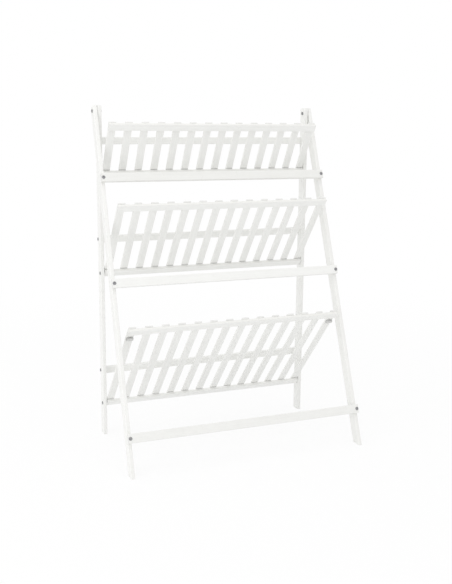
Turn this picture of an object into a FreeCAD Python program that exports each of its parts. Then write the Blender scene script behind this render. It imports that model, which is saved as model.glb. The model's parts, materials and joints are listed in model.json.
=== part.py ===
"""Folding bamboo shelf: an upright rear frame, front legs that swing out, and three hinged slatted shelves.

Millimetres. X runs to the right, Y to the back and Z up. The origin is on the floor, in the middle of the
space that the open shelf takes up.
"""
import FreeCAD, Part
import os

import Sketcher

# Driving sizes: name, value and what it is
SIZES = (
    ("post_thick", 11, "rear post, across the shelf"),
    ("post_deep", 32, "rear post, front to back"),
    ("leg_thick", 11, "front leg, across the shelf"),
    ("leg_deep", 32, "front leg, front to back"),
    ("inner_width", 654, "between the inner faces of the rear posts"),
    ("leg_gap", 1.2, "between a rear post and the front leg beside it, at the pivot"),
    ("leg_splay", 0.4, "front legs spread sideways by this on their way down"),
    ("post_crown", 16.5, "top of a rear post above the leg pivot"),
    ("leg_crown", 13.5, "top of a front leg above its pivot, along the leg"),
    ("crown_round", 5, "rounded corner at the top of posts and legs"),
    ("frame_round", 2, "rounded edge of posts, legs and rails"),
    ("back_rail_tall", 21, "back rail, up and down"),
    ("back_rail_thick", 12, "back rail, front to back"),
    ("upper_back_rail_rise", 96.5, "middle of the upper back rail above the top shelf's hinge"),
    ("middle_back_rail_rise", 100, "middle of the middle back rail above the middle shelf's hinge"),
    ("lower_back_rail_rise", 99.5, "middle of the lower back rail above the bottom shelf's hinge"),
    ("front_rail_tall", 26, "front rail, along the leg"),
    ("front_rail_thick", 12, "front rail, square to the leg"),
    ("lean_angle", 3.7, "a lowered shelf leans back by this"),
    ("rest_gap", 0.4, "between a lowered shelf and the front rail under it"),
    ("rest_inset", 21.5, "where the lowered bottom shelf rests, behind its front batten"),
    ("bottom_hinge_height", 99, "bottom shelf's hinge above the floor"),
    ("top_reach", 169, "top shelf, hinge to front edge"),
    ("middle_reach", 273, "middle shelf, hinge to front edge"),
    ("bottom_reach", 384, "bottom shelf, hinge to front edge"),
    ("hinge_forward", 8, "shelf hinges in front of the middle of the posts"),
    ("top_tilt", 60.3, "top shelf from level, as it stands"),
    ("middle_tilt", 52.5, "middle shelf from level, as it stands"),
    ("bottom_tilt", 48.1, "bottom shelf from level, as it stands"),
    ("slat_count", 14, "slats in a shelf"),
    ("slat_wide", 22, "slat, across the shelf"),
    ("slat_thick", 5, "slat thickness"),
    ("slat_round", 1.2, "rounded edge of slats and battens"),
    ("slat_overhang", 1, "slat past the front face of the front batten"),
    ("batten_wide", 21, "batten, along the slats"),
    ("batten_thick", 9, "batten thickness"),
    ("hinge_inset", 10.5, "hinge from the rear edge of the rear batten"),
    ("fold_gap", 7, "between the end of a shelf that is folded upright and what is above it"),
    ("washer_thick", 1.2, "side washer between a shelf and a post"),
    ("washer_wide", 9, "side washer diameter"),
    ("pivot_bolt_wide", 5, "pivot bolt shank diameter"),
    ("pivot_head_wide", 10, "pivot bolt head diameter"),
    ("pivot_head_tall", 2.2, "pivot bolt head height"),
    ("pivot_nut_wide", 8, "pivot nut across its flats"),
    ("pivot_nut_tall", 3, "pivot nut height"),
    ("pivot_bolt_end", 0.3, "pivot bolt past its nut"),
    ("spacer_wide", 28, "pivot spacer diameter"),
    ("bolt_wide", 5, "connector and hinge bolt shank diameter"),
    ("bolt_head_wide", 10, "connector and hinge bolt head diameter"),
    ("bolt_head_tall", 1.4, "connector and hinge bolt head height"),
    ("head_rim", 0.5, "straight rim under the dome of a bolt head"),
    ("bolt_reach", 26, "bolt past the face of the piece that it screws into"),
    ("bore_spare", 1, "bore past the end of its bolt"),
    ("socket_wide", 4, "hexagon socket across its flats"),
    ("socket_deep", 1, "hexagon socket depth"),
    ("insert_wide", 6.8, "threaded insert diameter"),
    ("insert_long", 14, "threaded insert length"),
    ("brad_wide", 1.6, "brad shank diameter"),
    ("brad_head_wide", 3, "brad head diameter"),
    ("brad_head_tall", 1, "brad head height"),
    ("brad_long", 11, "brad length"),
    ("brad_edge", 4, "rear brads from the front edge of the rear batten"),
    ("pad_long", 11, "rest pad along its slat"),
    ("pad_thick", 7, "rest pad thickness"),
    ("pad_margin", 1, "rest pad inside the edges of its slat"),
    ("running_gap", 0.1, "round a shaft that turns"),
    ("seat_gap", 0.05, "round a fastener that is fixed"),
    ("face_gap", 0.2, "between flat faces that turn on each other"),
)


def rail_drop(shelf, rest_pad):
    """Formula for the middle of a front rail down the leg, so that the lowered shelf rests on the rail."""
    return ("((places.pivot_height - places.%s_hinge) * cos(sizes.lean_angle) + places.rest_offset + %s"
            " + places.rest_centre * sin(places.rest_angle)) / cos(places.rest_angle)"
            " - sizes.frame_round + sizes.front_rail_tall / 2" % (shelf, rest_pad))


# Places that follow from the driving sizes: name and formula
PLACES = (
    ("inner_half", "sizes.inner_width / 2"),
    ("post_outer", "places.inner_half + sizes.post_thick"),
    ("leg_inner", "places.post_outer + sizes.leg_gap"),
    ("leg_outer", "places.leg_inner + sizes.leg_thick"),
    ("leg_middle", "places.leg_inner + sizes.leg_thick / 2"),
    ("post_radius", "sizes.post_deep / 2"),
    ("leg_radius", "sizes.leg_deep / 2"),
    ("shelf_half", "places.inner_half - sizes.washer_thick - sizes.face_gap"),
    ("batten_half", "sizes.batten_thick / 2"),
    ("slat_pitch_sum", "2 * places.shelf_half - sizes.slat_wide"),
    ("rear_corner", "sqrt(sizes.hinge_inset ^ 2 + places.batten_half ^ 2)"),
    ("nut_corner", "sizes.pivot_nut_wide / 2 / cos(30)"),
    # The raised shelves stack one above the other, which sets the heights
    ("bottom_hinge", "sizes.bottom_hinge_height"),
    ("middle_hinge", "places.bottom_hinge + sizes.bottom_reach + sizes.fold_gap + places.rear_corner"),
    ("top_hinge", "places.middle_hinge + sizes.middle_reach + sizes.fold_gap + places.rear_corner"),
    ("pivot_height", "places.top_hinge + sizes.top_reach + sizes.fold_gap + places.nut_corner"),
    ("upper_back_rail", "places.top_hinge + sizes.upper_back_rail_rise"),
    ("middle_back_rail", "places.middle_hinge + sizes.middle_back_rail_rise"),
    ("lower_back_rail", "places.bottom_hinge + sizes.lower_back_rail_rise"),
    # The lowered bottom shelf rests on the rounded edge of the lower front rail, which sets the legs' angle
    ("front_rail_face", "places.leg_radius + sizes.front_rail_thick"),
    ("rest_centre", "places.front_rail_face - sizes.frame_round"),
    ("rest_reach", "sizes.bottom_reach - sizes.slat_overhang - sizes.batten_wide - sizes.rest_inset"),
    ("rest_offset", "sizes.hinge_forward * sin(sizes.lean_angle) - places.batten_half"
                    " + sizes.rest_gap + sizes.frame_round"),
    ("rest_below", "(places.pivot_height - places.bottom_hinge) * cos(sizes.lean_angle)"
                   " + places.rest_offset + sizes.pad_thick"),
    ("rest_forward", "places.rest_reach + sizes.hinge_forward * cos(sizes.lean_angle)"
                     " - (places.pivot_height - places.bottom_hinge) * sin(sizes.lean_angle)"),
    ("rest_drop", "sqrt(places.rest_below ^ 2 + places.rest_forward ^ 2 - places.rest_centre ^ 2)"),
    ("rest_angle", "(atan2(places.rest_forward; places.rest_below)"
                   " - atan2(places.rest_centre; places.rest_drop)) / 1 deg"),
    ("open_angle", "places.rest_angle + sizes.lean_angle"),
    ("upper_rail_drop", rail_drop("top", "0")),
    ("middle_rail_drop", rail_drop("middle", "0")),
    ("lower_rail_drop", rail_drop("bottom", "sizes.pad_thick")),
    ("pad_reach", "places.rest_reach + sizes.frame_round"),
    # The open leg's foot is the frontmost and its top corner or the post the hindmost, which sets the middle
    ("leg_long", "places.pivot_height / cos(places.open_angle)"),
    ("foot_rise", "places.leg_radius * tan(places.open_angle)"),
    ("foot_front", "places.pivot_height * tan(places.open_angle)"
                   " + places.leg_radius / cos(places.open_angle)"),
    ("crown_back", "(sizes.leg_crown - sizes.crown_round) * sin(places.open_angle)"
                   " + (places.leg_radius - sizes.crown_round) * cos(places.open_angle) + sizes.crown_round"),
    ("post_middle", "(places.foot_front - max(places.post_radius; places.crown_back)) / 2"),
    ("hinge_middle", "places.post_middle - sizes.hinge_forward"),
    # The legs spread sideways from the pivot down, and each front rail is as long as they stand apart there
    ("leg_slope", "tan(sizes.leg_splay)"),
    ("leg_end", "places.leg_long + 2 * places.foot_rise"),
    ("end_spread", "places.leg_end * places.leg_slope"),
    ("crown_spread", "-sizes.leg_crown * places.leg_slope"),
    ("upper_rail_spread", "places.upper_rail_drop * places.leg_slope"),
    ("middle_rail_spread", "places.middle_rail_drop * places.leg_slope"),
    ("lower_rail_spread", "places.lower_rail_drop * places.leg_slope"),
)

RAIL_LEVELS = (("upper", "top"), ("middle", "middle"), ("lower", "bottom"))
SHELVES = ("top", "middle", "bottom")
SIDES = (("left", -1), ("right", 1))
TURN_TO_X = FreeCAD.Rotation(FreeCAD.Vector(0, 1, 0), 90)
TURN_TO_FRONT = FreeCAD.Rotation(FreeCAD.Vector(1, 0, 0), 90)
ACROSS = FreeCAD.Vector(1, 0, 0)
ALONG = FreeCAD.Vector(0, 1, 0)
UPWARDS = FreeCAD.Vector(0, 0, 1)

doc = FreeCAD.newDocument("folding_shelf")
sizes = doc.addObject("Spreadsheet::Sheet", "sizes")
places = doc.addObject("Spreadsheet::Sheet", "places")
nodes = []


def fill_sheets():
    """Write the driving sizes as plain numbers and the places as formulas, each under its own alias."""
    for row, (name, value, meaning) in enumerate(SIZES, start=1):
        sizes.set("A%d" % row, name)
        sizes.set("B%d" % row, str(value))
        sizes.set("C%d" % row, meaning)
        sizes.setAlias("B%d" % row, name)
    doc.recompute()
    for row, (name, formula) in enumerate(PLACES, start=1):
        places.set("A%d" % row, name)
        places.set("B%d" % row, "=" + formula)
        places.setAlias("B%d" % row, name)
        doc.recompute()


def number(formula):
    """Value of a formula on the sheets."""
    return float(sizes.evalExpression(formula))


def new_body(label):
    """One node: a body of its own."""
    body = doc.addObject("PartDesign::Body", label)
    body.Label = label
    nodes.append(body)
    return body


def origin_feature(body, role):
    """Plane or axis of the body's own origin."""
    return next(feature for feature in body.Origin.OriginFeatures if feature.Role == role)


def new_sketch(body, name, role, offset):
    """Sketch on one of the body's origin planes, moved along the plane's normal by a formula."""
    sketch = body.newObject("Sketcher::SketchObject", body.Name + "_" + name)
    sketch.AttachmentSupport = (origin_feature(body, role), [""])
    sketch.MapMode = "FlatFace"
    sketch.setExpression("AttachmentOffset.Base.z", offset)
    return sketch


def fix_point(sketch, geometry, place, name, across, up):
    """Hold one point of a sketch at a formula across and a formula up, from the sketch's origin."""
    for kind, formula, tail in (("DistanceX", across, "_across"), ("DistanceY", up, "_up")):
        value = number(formula)
        if abs(value) < 1e-9:
            axis = -2 if kind == "DistanceX" else -1
            sketch.addConstraint(Sketcher.Constraint("PointOnObject", geometry, place, axis))
            continue
        index = sketch.addConstraint(Sketcher.Constraint(kind, -1, 1, geometry, place, value))
        sketch.renameConstraint(index, name + tail)
        sketch.setExpression("Constraints." + name + tail, formula)


def draw_outline(sketch, points):
    """Closed outline of straight lines through points that are each given by two formulas."""
    corners = [FreeCAD.Vector(number(across), number(up), 0) for across, up in points]
    count = len(corners)
    for index in range(count):
        sketch.addGeometry(Part.LineSegment(corners[index], corners[(index + 1) % count]), False)
    for index in range(count):
        sketch.addConstraint(Sketcher.Constraint("Coincident", index, 2, (index + 1) % count, 1))
    for index, (across, up) in enumerate(points):
        fix_point(sketch, index, 1, "corner%d" % index, across, up)


def draw_box(sketch, across, up):
    """Rectangle between two formulas across and two up."""
    draw_outline(sketch, ((across[0], up[0]), (across[1], up[0]), (across[1], up[1]), (across[0], up[1])))


def draw_circle(sketch, name, across, up, radius):
    """Circle whose middle and radius are formulas."""
    middle = FreeCAD.Vector(number(across), number(up), 0)
    index = sketch.addGeometry(Part.Circle(middle, FreeCAD.Vector(0, 0, 1), number(radius)), False)
    fix_point(sketch, index, 3, name, across, up)
    size = sketch.addConstraint(Sketcher.Constraint("Radius", index, number(radius)))
    sketch.renameConstraint(size, name + "_radius")
    sketch.setExpression("Constraints." + name + "_radius", radius)


def extrude(body, sketch, length, kind, sides):
    """Pad or pocket of a sketch along its normal by a formula, to one side of the sketch or to both."""
    feature = body.newObject("PartDesign::" + kind, sketch.Name + "_" + kind.lower())
    feature.Profile = sketch
    feature.SideType = sides
    feature.setExpression("Length", length)
    doc.recompute()
    return feature


def pad(body, sketch, length):
    """Pad a sketch along its normal by a formula."""
    return extrude(body, sketch, length, "Pad", "One side")


def round_edges(body, base, name, keep, radius):
    """Round the edges of the base feature that pass the test."""
    names = ["Edge%d" % index for index, edge in enumerate(base.Shape.Edges, start=1) if keep(edge)]
    feature = body.newObject("PartDesign::Fillet", body.Name + "_" + name)
    feature.Base = (base, names)
    feature.setExpression("Radius", radius)
    doc.recompute()
    return feature


def runs_along(direction, least):
    """Test for straight edges along a direction that are longer than a length."""
    def keep(edge):
        straight = isinstance(edge.Curve, Part.Line)
        return straight and edge.Length > least and abs(edge.Curve.Direction.dot(direction)) > 0.999
    return keep


def round_bar(body, bar):
    """Round the top corners of a bar, then its long sides and its top, but not its foot and its holes."""
    box = bar.Shape.BoundBox
    across = runs_along(ACROSS, 0)

    def is_corner(edge):
        return across(edge) and box.ZMax - edge.CenterOfMass.z < 1e-6

    def is_side(edge):
        return not edge.isClosed() and not across(edge) and edge.CenterOfMass.z > box.ZMin + box.YLength

    crown = round_edges(body, bar, "crown", is_corner, "sizes.crown_round")
    round_edges(body, crown, "round", is_side, "sizes.frame_round")


def add_round(body, name, kind, radius, height, base, turn):
    """Cylinder added to or cut from a body, from a base point of three formulas."""
    feature = body.newObject("PartDesign::%sCylinder" % kind, body.Name + "_" + name)
    feature.Placement = FreeCAD.Placement(FreeCAD.Vector(), turn)
    feature.setExpression("Radius", radius)
    feature.setExpression("Height", height)
    for axis, formula in zip("xyz", base):
        feature.setExpression("Placement.Base." + axis, formula)
    doc.recompute()
    return feature


def add_hexagon(body, name, kind, flats, height, base, turn):
    """Six-sided prism added to or cut from a body, from a base point of three formulas."""
    feature = body.newObject("PartDesign::%sPrism" % kind, body.Name + "_" + name)
    feature.Placement = FreeCAD.Placement(FreeCAD.Vector(), turn)
    feature.Polygon = 6
    feature.setExpression("Circumradius", flats + " / 2 / cos(30)")
    feature.setExpression("Height", height)
    for axis, formula in zip("xyz", base):
        feature.setExpression("Placement.Base." + axis, formula)
    doc.recompute()
    return feature


def mirror(body):
    """Copy everything in the body to the other side of the shelf."""
    base = body.Tip
    feature = body.newObject("PartDesign::Mirrored", body.Name + "_mirror")
    feature.TransformMode = "Whole shape"
    feature.MirrorPlane = (origin_feature(body, "YZ_Plane"), [""])
    feature.BaseFeature = base
    body.Tip = feature
    doc.recompute()
    return feature


def place_rear(body):
    """Stand a rear-frame piece in the plane of the posts."""
    body.setExpression("Placement.Base.y", "places.post_middle")


def place_front(body):
    """Hang a front-frame piece from the leg pivot at the open angle."""
    body.Placement = FreeCAD.Placement(FreeCAD.Vector(), FreeCAD.Rotation(ACROSS, -1))
    body.setExpression("Placement.Base.y", "places.post_middle")
    body.setExpression("Placement.Base.z", "places.pivot_height")
    body.setExpression("Placement.Rotation.Angle", "-places.open_angle")


def place_shelf(body, shelf):
    """Set a shelf piece on its shelf's hinge at the angle at which it stands."""
    body.Placement = FreeCAD.Placement(FreeCAD.Vector(), FreeCAD.Rotation(ACROSS, -1))
    body.setExpression("Placement.Base.y", "places.hinge_middle")
    body.setExpression("Placement.Base.z", "places.%s_hinge" % shelf)
    body.setExpression("Placement.Rotation.Angle", "-sizes.%s_tilt" % shelf)


def make_rear_posts():
    """Upright posts, with holes for the leg pivot, the back rails' bolts and the shelves' hinge bolts."""
    for side, way in SIDES:
        body = new_body(side + "_rear_post")
        start = "places.inner_half" if way > 0 else "-places.post_outer"
        sketch = new_sketch(body, "outline", "YZ_Plane", start)
        draw_box(sketch, ("-places.post_radius", "places.post_radius"),
                 ("0", "places.pivot_height + sizes.post_crown"))
        draw_circle(sketch, "pivot", "0", "places.pivot_height", "sizes.pivot_bolt_wide / 2 + sizes.seat_gap")
        for level, shelf in RAIL_LEVELS:
            back = "places.post_radius - sizes.back_rail_thick / 2"
            draw_circle(sketch, level + "_rail", back, "places.%s_back_rail" % level,
                        "sizes.bolt_wide / 2 + sizes.seat_gap")
            draw_circle(sketch, shelf + "_hinge", "-sizes.hinge_forward", "places.%s_hinge" % shelf,
                        "sizes.bolt_wide / 2 + sizes.running_gap")
        round_bar(body, pad(body, sketch, "sizes.post_thick"))
        place_rear(body)


def make_front_legs():
    """Legs that hang from the pivot and spread sideways, with a foot that is level when the shelf is open."""
    for side, way in SIDES:
        body = new_body(side + "_front_leg")
        sketch = new_sketch(body, "outline", "XZ_Plane", "0")
        inner = "%d * (places.leg_inner + places.%s_spread)"
        outer = "%d * (places.leg_outer + places.%s_spread)"
        draw_outline(sketch, ((inner % (way, "end"), "-places.leg_end"),
                              (outer % (way, "end"), "-places.leg_end"),
                              (outer % (way, "crown"), "sizes.leg_crown"),
                              (inner % (way, "crown"), "sizes.leg_crown")))
        extrude(body, sketch, "sizes.leg_deep", "Pad", "Symmetric")
        round_bar(body, cut_level_foot(body, "%d * (places.leg_middle + places.end_spread)" % way))
        start = "places.leg_inner" if way > 0 else "-places.leg_outer"
        add_round(body, "pivot_bore", "Subtractive", "sizes.pivot_bolt_wide / 2 + sizes.running_gap",
                  "3 * sizes.leg_thick", (start + " - sizes.leg_thick", "0", "0"), TURN_TO_X)
        for level, shelf in RAIL_LEVELS:
            middle = "%d * (places.leg_middle + places.%s_rail_spread)" % (way, level)
            base = (middle, "-places.leg_radius", "-places.%s_rail_drop" % level)
            cut_screw_seat(body, level, base, FreeCAD.Rotation(ACROSS, -90))
        place_front(body)


def cut_level_foot(body, middle):
    """Cut the end of a leg along the floor, on which it stands at the open angle."""
    sketch = new_sketch(body, "foot", "YZ_Plane", middle)
    draw_outline(sketch, (("-sizes.leg_deep", "-places.leg_end"),
                          ("sizes.leg_deep", "-places.leg_long + 2 * places.foot_rise"),
                          ("sizes.leg_deep", "-places.leg_end - places.foot_rise"),
                          ("-sizes.leg_deep", "-places.leg_end - places.foot_rise")))
    return extrude(body, sketch, "4 * sizes.leg_thick", "Pocket", "Symmetric")


def cut_screw_seat(body, name, base, turn):
    """Bore for a threaded insert and, below it, for the rest of its bolt."""
    add_round(body, name + "_insert_bore", "Subtractive", "sizes.insert_wide / 2 + sizes.seat_gap",
              "sizes.insert_long", base, turn)
    add_round(body, name + "_bolt_bore", "Subtractive", "sizes.bolt_wide / 2 + sizes.seat_gap",
              "sizes.bolt_reach + sizes.bore_spare", base, turn)


def make_back_rails():
    """Rails between the posts, behind the folded shelves."""
    for level, shelf in RAIL_LEVELS:
        body = new_body(level + "_back_rail")
        height = "places.%s_back_rail" % level
        sketch = new_sketch(body, "outline", "YZ_Plane", "-places.inner_half")
        draw_box(sketch, ("places.post_radius - sizes.back_rail_thick", "places.post_radius"),
                 (height + " - sizes.back_rail_tall / 2", height + " + sizes.back_rail_tall / 2"))
        bar = pad(body, sketch, "sizes.inner_width")
        round_edges(body, bar, "round", runs_along(ACROSS, number("places.inner_half")), "sizes.frame_round")
        back = "places.post_radius - sizes.back_rail_thick / 2"
        cut_screw_seat(body, "left", ("-places.inner_half", back, height), TURN_TO_X)
        cut_screw_seat(body, "right", ("places.inner_half", back, height), TURN_TO_X.inverted())
        place_rear(body)
        make_bolts(level + "_back_rail_bolts", "places.post_outer", "places.inner_half", (back, height),
                   place_rear)
        make_inserts(level + "_back_rail_inserts", "places.inner_half", (back, height), place_rear)


def make_bolts(label, head_face, screw_face, middle, place):
    """Pair of bolts that point inwards across the shelf, with domed heads and hexagon sockets."""
    body = new_body(label)
    head = add_round(body, "head", "Additive", "sizes.bolt_head_wide / 2", "sizes.bolt_head_tall",
                     (head_face,) + middle, TURN_TO_X)
    round_edges(body, head, "dome", rim_at(ACROSS, number(head_face + " + sizes.bolt_head_tall")),
                "sizes.bolt_head_tall - sizes.head_rim")
    end = screw_face + " - sizes.bolt_reach"
    add_round(body, "shank", "Additive", "sizes.bolt_wide / 2", head_face + " - (" + end + ")",
              (end,) + middle, TURN_TO_X)
    add_hexagon(body, "socket", "Subtractive", "sizes.socket_wide", "sizes.socket_deep",
                (head_face + " + sizes.bolt_head_tall - sizes.socket_deep",) + middle, TURN_TO_X)
    mirror(body)
    place(body)


def rim_at(direction, distance):
    """Test for a round edge at a distance along a direction."""
    def keep(edge):
        return isinstance(edge.Curve, Part.Circle) and abs(edge.Curve.Center.dot(direction) - distance) < 1e-6
    return keep


def make_inserts(label, face, middle, place):
    """Pair of threaded inserts that end flush with a face across the shelf."""
    body = new_body(label)
    base = (face + " - sizes.insert_long",) + middle
    add_round(body, "tube", "Additive", "sizes.insert_wide / 2", "sizes.insert_long", base, TURN_TO_X)
    add_round(body, "thread", "Subtractive", "sizes.bolt_wide / 2 + sizes.seat_gap", "sizes.insert_long",
              base, TURN_TO_X)
    mirror(body)
    place(body)


def make_front_rails():
    """Rails across the front of the legs, each as long as the legs stand apart there."""
    for level, shelf in RAIL_LEVELS:
        drop = "places.%s_rail_drop" % level
        half = "(places.leg_outer + places.%s_rail_spread)" % level
        middle = "(places.leg_middle + places.%s_rail_spread)" % level
        body = new_body(level + "_front_rail")
        sketch = new_sketch(body, "outline", "YZ_Plane", "-" + half)
        draw_box(sketch, ("-places.front_rail_face", "-places.leg_radius"),
                 ("-" + drop + " - sizes.front_rail_tall / 2", "-" + drop + " + sizes.front_rail_tall / 2"))
        bar = pad(body, sketch, "2 * " + half)
        round_edges(body, bar, "round", runs_along(ACROSS, number("places.inner_half")), "sizes.frame_round")
        for side, way in SIDES:
            add_round(body, side + "_bore", "Subtractive", "sizes.bolt_wide / 2 + sizes.seat_gap",
                      "sizes.front_rail_thick",
                      ("%d * %s" % (way, middle), "-places.leg_radius", "-" + drop), TURN_TO_FRONT)
        place_front(body)
        make_front_rail_bolts(level, middle, drop)
        make_front_rail_inserts(level, middle, drop)


def make_front_rail_bolts(level, middle, drop):
    """Pair of bolts through a front rail into the legs, with domed heads and hexagon sockets."""
    body = new_body(level + "_front_rail_bolts")
    face = "-places.front_rail_face"
    head = add_round(body, "head", "Additive", "sizes.bolt_head_wide / 2", "sizes.bolt_head_tall",
                     (middle, face, "-" + drop), TURN_TO_FRONT)
    round_edges(body, head, "dome", rim_at(ALONG, number(face + " - sizes.bolt_head_tall")),
                "sizes.bolt_head_tall - sizes.head_rim")
    end = "-places.leg_radius + sizes.bolt_reach"
    add_round(body, "shank", "Additive", "sizes.bolt_wide / 2", "sizes.front_rail_thick + sizes.bolt_reach",
              (middle, end, "-" + drop), TURN_TO_FRONT)
    add_hexagon(body, "socket", "Subtractive", "sizes.socket_wide", "sizes.socket_deep",
                (middle, face + " - sizes.bolt_head_tall + sizes.socket_deep", "-" + drop), TURN_TO_FRONT)
    mirror(body)
    place_front(body)


def make_front_rail_inserts(level, middle, drop):
    """Pair of threaded inserts in the front faces of the legs."""
    body = new_body(level + "_front_rail_inserts")
    base = (middle, "-places.leg_radius + sizes.insert_long", "-" + drop)
    add_round(body, "tube", "Additive", "sizes.insert_wide / 2", "sizes.insert_long", base, TURN_TO_FRONT)
    add_round(body, "thread", "Subtractive", "sizes.bolt_wide / 2 + sizes.seat_gap", "sizes.insert_long",
              base, TURN_TO_FRONT)
    mirror(body)
    place_front(body)


def make_leg_pivots():
    """Bolts, spacers and nuts on which the front legs turn."""
    middle = ("0", "places.pivot_height")
    head_face = "places.leg_outer + sizes.face_gap"
    nut_end = "places.inner_half - sizes.pivot_nut_tall"
    bolts = new_body("pivot_bolts")
    head = add_round(bolts, "head", "Additive", "sizes.pivot_head_wide / 2", "sizes.pivot_head_tall",
                     (head_face,) + middle, TURN_TO_X)
    round_edges(bolts, head, "dome", rim_at(ACROSS, number(head_face + " + sizes.pivot_head_tall")),
                "sizes.pivot_head_tall - sizes.head_rim")
    end = nut_end + " - sizes.pivot_bolt_end"
    add_round(bolts, "shank", "Additive", "sizes.pivot_bolt_wide / 2", head_face + " - (" + end + ")",
              (end,) + middle, TURN_TO_X)
    add_hexagon(bolts, "socket", "Subtractive", "sizes.socket_wide", "sizes.socket_deep",
                (head_face + " + sizes.pivot_head_tall - sizes.socket_deep",) + middle, TURN_TO_X)
    mirror(bolts)
    place_rear(bolts)
    spacers = new_body("pivot_spacers")
    thick = "sizes.leg_gap - sizes.face_gap"
    add_round(spacers, "disc", "Additive", "sizes.spacer_wide / 2", thick, ("places.post_outer",) + middle,
              TURN_TO_X)
    add_round(spacers, "bore", "Subtractive", "sizes.pivot_bolt_wide / 2 + sizes.seat_gap", thick,
              ("places.post_outer",) + middle, TURN_TO_X)
    mirror(spacers)
    place_rear(spacers)
    nuts = new_body("pivot_nuts")
    add_hexagon(nuts, "flats", "Additive", "sizes.pivot_nut_wide", "sizes.pivot_nut_tall",
                (nut_end,) + middle, TURN_TO_X)
    add_round(nuts, "thread", "Subtractive", "sizes.pivot_bolt_wide / 2 + sizes.seat_gap",
              "sizes.pivot_nut_tall", (nut_end,) + middle, TURN_TO_X)
    mirror(nuts)
    place_rear(nuts)


def brad_rows(shelf):
    """Distances of the two rows of brads behind the hinge, front row first."""
    front = "-(sizes.%s_reach - sizes.slat_overhang - sizes.batten_wide / 2)" % shelf
    rear = "sizes.hinge_inset - sizes.batten_wide + sizes.brad_edge"
    return (("front", front), ("rear", rear))


def repeat_slats(body, originals):
    """Repeat features once for each slat across the shelf."""
    feature = body.newObject("PartDesign::LinearPattern", body.Name + "_across")
    feature.Originals = originals
    feature.Direction = (origin_feature(body, "X_Axis"), [""])
    feature.setExpression("Length", "places.slat_pitch_sum")
    feature.setExpression("Occurrences", "sizes.slat_count")
    body.Tip = feature
    doc.recompute()
    return feature


def make_slats(shelf):
    """Row of slats, each with a hole for the brad at either batten."""
    body = new_body(shelf + "_shelf_slats")
    sketch = new_sketch(body, "outline", "XY_Plane", "places.batten_half")
    draw_box(sketch, ("-places.shelf_half", "-places.shelf_half + sizes.slat_wide"),
             ("-sizes.%s_reach" % shelf, "sizes.hinge_inset"))
    for row, along in brad_rows(shelf):
        draw_circle(sketch, row, "-places.shelf_half + sizes.slat_wide / 2", along,
                    "sizes.brad_wide / 2 + sizes.seat_gap")
    slat = pad(body, sketch, "sizes.slat_thick")
    counterbores = []
    for row, along in brad_rows(shelf):
        counterbores.append(add_round(
            body, row + "_head_seat", "Subtractive", "sizes.brad_head_wide / 2 + sizes.seat_gap",
            "sizes.brad_head_tall",
            ("-places.shelf_half + sizes.slat_wide / 2", along,
             "places.batten_half + sizes.slat_thick - sizes.brad_head_tall"), FreeCAD.Rotation()))
    row = repeat_slats(body, [slat] + counterbores)
    long_edge = runs_along(ALONG, number("sizes.%s_reach / 2" % shelf))
    round_edges(body, row, "round", long_edge, "sizes.slat_round")
    place_shelf(body, shelf)


def make_brads(shelf):
    """Brads that hold the slats to the battens, with their heads flush with the slats."""
    body = new_body(shelf + "_shelf_brads")
    top = "places.batten_half + sizes.slat_thick"
    middle = "-places.shelf_half + sizes.slat_wide / 2"
    features = []
    for row, along in brad_rows(shelf):
        features.append(add_round(body, row + "_head", "Additive", "sizes.brad_head_wide / 2",
                                  "sizes.brad_head_tall", (middle, along, top + " - sizes.brad_head_tall"),
                                  FreeCAD.Rotation()))
        features.append(add_round(body, row + "_shank", "Additive", "sizes.brad_wide / 2", "sizes.brad_long",
                                  (middle, along, top + " - sizes.brad_long"), FreeCAD.Rotation()))
    repeat_slats(body, features)
    place_shelf(body, shelf)


def make_batten(shelf, end, near, brads_at):
    """Flat batten under the slats, from a near edge towards the back of the shelf."""
    body = new_body("%s_shelf_%s_batten" % (shelf, end))
    sketch = new_sketch(body, "outline", "YZ_Plane", "-places.shelf_half")
    draw_box(sketch, (near, near + " + sizes.batten_wide"), ("-places.batten_half", "places.batten_half"))
    bar = pad(body, sketch, "2 * places.shelf_half")
    round_edges(body, bar, "round", runs_along(ACROSS, number("places.inner_half")), "sizes.slat_round")
    depth = "sizes.brad_long - sizes.slat_thick"
    first = "-places.shelf_half + sizes.slat_wide / 2"
    bore = add_round(body, "brad_bore", "Subtractive", "sizes.brad_wide / 2 + sizes.seat_gap", depth,
                     (first, brads_at, "places.batten_half - (" + depth + ")"), FreeCAD.Rotation())
    repeat_slats(body, [bore])
    if end == "rear":
        cut_screw_seat(body, "left", ("-places.shelf_half", "0", "0"), TURN_TO_X)
        cut_screw_seat(body, "right", ("places.shelf_half", "0", "0"), TURN_TO_X.inverted())
    place_shelf(body, shelf)


def make_washers(shelf):
    """Washers that keep a shelf off the posts."""
    body = new_body(shelf + "_shelf_washers")
    base = ("places.shelf_half", "0", "0")
    add_round(body, "disc", "Additive", "sizes.washer_wide / 2", "sizes.washer_thick", base, TURN_TO_X)
    add_round(body, "bore", "Subtractive", "sizes.bolt_wide / 2 + sizes.seat_gap", "sizes.washer_thick", base,
              TURN_TO_X)
    mirror(body)
    place_shelf(body, shelf)


def make_rest_pads():
    """Pads under the first and the last slat of the bottom shelf, flush with the front of the lower rail."""
    body = new_body("bottom_shelf_rest_pads")
    sketch = new_sketch(body, "outline", "XY_Plane", "places.batten_half - sizes.pad_thick")
    inner = "places.shelf_half - sizes.slat_wide + sizes.pad_margin"
    draw_box(sketch, (inner, "places.shelf_half - sizes.pad_margin"),
             ("-places.pad_reach", "-places.pad_reach + sizes.pad_long"))
    block = pad(body, sketch, "sizes.pad_thick")
    round_edges(body, block, "round", runs_along(UPWARDS, 0), "sizes.slat_round")
    mirror(body)
    place_shelf(body, "bottom")


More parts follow.
